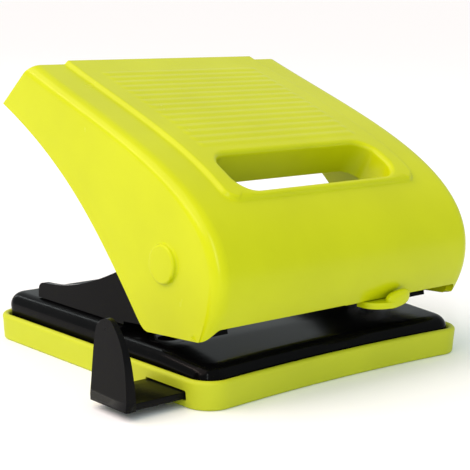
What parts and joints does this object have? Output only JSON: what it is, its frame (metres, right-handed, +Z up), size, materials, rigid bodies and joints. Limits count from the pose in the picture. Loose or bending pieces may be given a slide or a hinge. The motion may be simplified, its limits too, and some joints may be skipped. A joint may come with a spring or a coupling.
{
  "type": "hole punch",
  "caption": "Desk punch with a curved lever handle, spring-returned punch pins over a paper slot, a sliding paper guide and a pull-off chip tray.",
  "frame": {"origin": "middle of the chip tray's underside, on the surface the punch stands on", "axes": "+Z up; -Y is the front, where the paper goes in; +X is to the right seen from the front"},
  "size_m": [0.1235, 0.1066, 0.0858],
  "materials": {
    "lime_plastic": "satin moulded plastic with a fine grain",
    "soft_lime_plastic": "soft matt moulded plastic",
    "black_paint": "satin black enamel",
    "black_plastic": "satin moulded plastic",
    "bright_steel": "ground and turned",
    "spring_steel": "drawn wire and stamped strip",
    "zinc_steel": "zinc plated, dull"
  },
  "bodies": {
    "frame": {"base_plate": "black_paint", "left_die_ring": "black_paint", "right_die_ring": "black_paint", "left_punch_bracket": "black_paint", "right_punch_bracket": "black_paint", "left_front_rivet": "zinc_steel", "left_rear_rivet": "zinc_steel", "right_front_rivet": "zinc_steel", "right_rear_rivet": "zinc_steel", "pivot_axle": "bright_steel", "left_return_spring": "spring_steel", "right_return_spring": "spring_steel"},
    "handle": {"handle_shell": "lime_plastic", "press_lever": "zinc_steel", "left_handle_screw": "zinc_steel", "right_handle_screw": "zinc_steel", "lock_screw": "zinc_steel"},
    "lock": {"lock_slider": "lime_plastic"},
    "left_pin": {"left_punch_pin": "bright_steel", "left_pin_clip": "spring_steel"},
    "right_pin": {"right_punch_pin": "bright_steel", "right_pin_clip": "spring_steel"},
    "tray": {"chip_tray": "soft_lime_plastic"},
    "guide": {"paper_guide": "black_plastic"}
  },
  "joints": [
    {"name": "handle_press", "type": "hinge", "parent": "frame", "child": "handle", "pos_m": [0, -0.0315, 0.0363], "axis": [-1, 0, 0], "range_deg": [0, 32], "stiffness_Nm_per_rad": 0.3, "springref_deg": -20.05},
    {"name": "left_pin_slide", "type": "slide", "parent": "frame", "child": "left_pin", "axis": [0, 0, -1], "range_m": [0, 0.0059], "deforming": ["left_return_spring"]},
    {"name": "right_pin_slide", "type": "slide", "parent": "frame", "child": "right_pin", "axis": [0, 0, -1], "range_m": [0, 0.0059], "deforming": ["right_return_spring"]},
    {"name": "lock_slide", "type": "slide", "parent": "handle", "child": "lock", "axis": [-1, 0, 0], "range_m": [0, 0.008]},
    {"name": "tray_release", "type": "slide", "parent": "frame", "child": "tray", "axis": [0, 0, -1], "range_m": [0, 0.025]},
    {"name": "guide_slide", "type": "slide", "parent": "tray", "child": "guide", "axis": [-1, 0, 0], "range_m": [-0.0154, 0.06]}
  ],
  "couplings": [
    {"joint": "left_pin_slide", "follows": "handle_press", "m_per_rad": 0.0105},
    {"joint": "right_pin_slide", "follows": "handle_press", "m_per_rad": 0.0105}
  ]
}
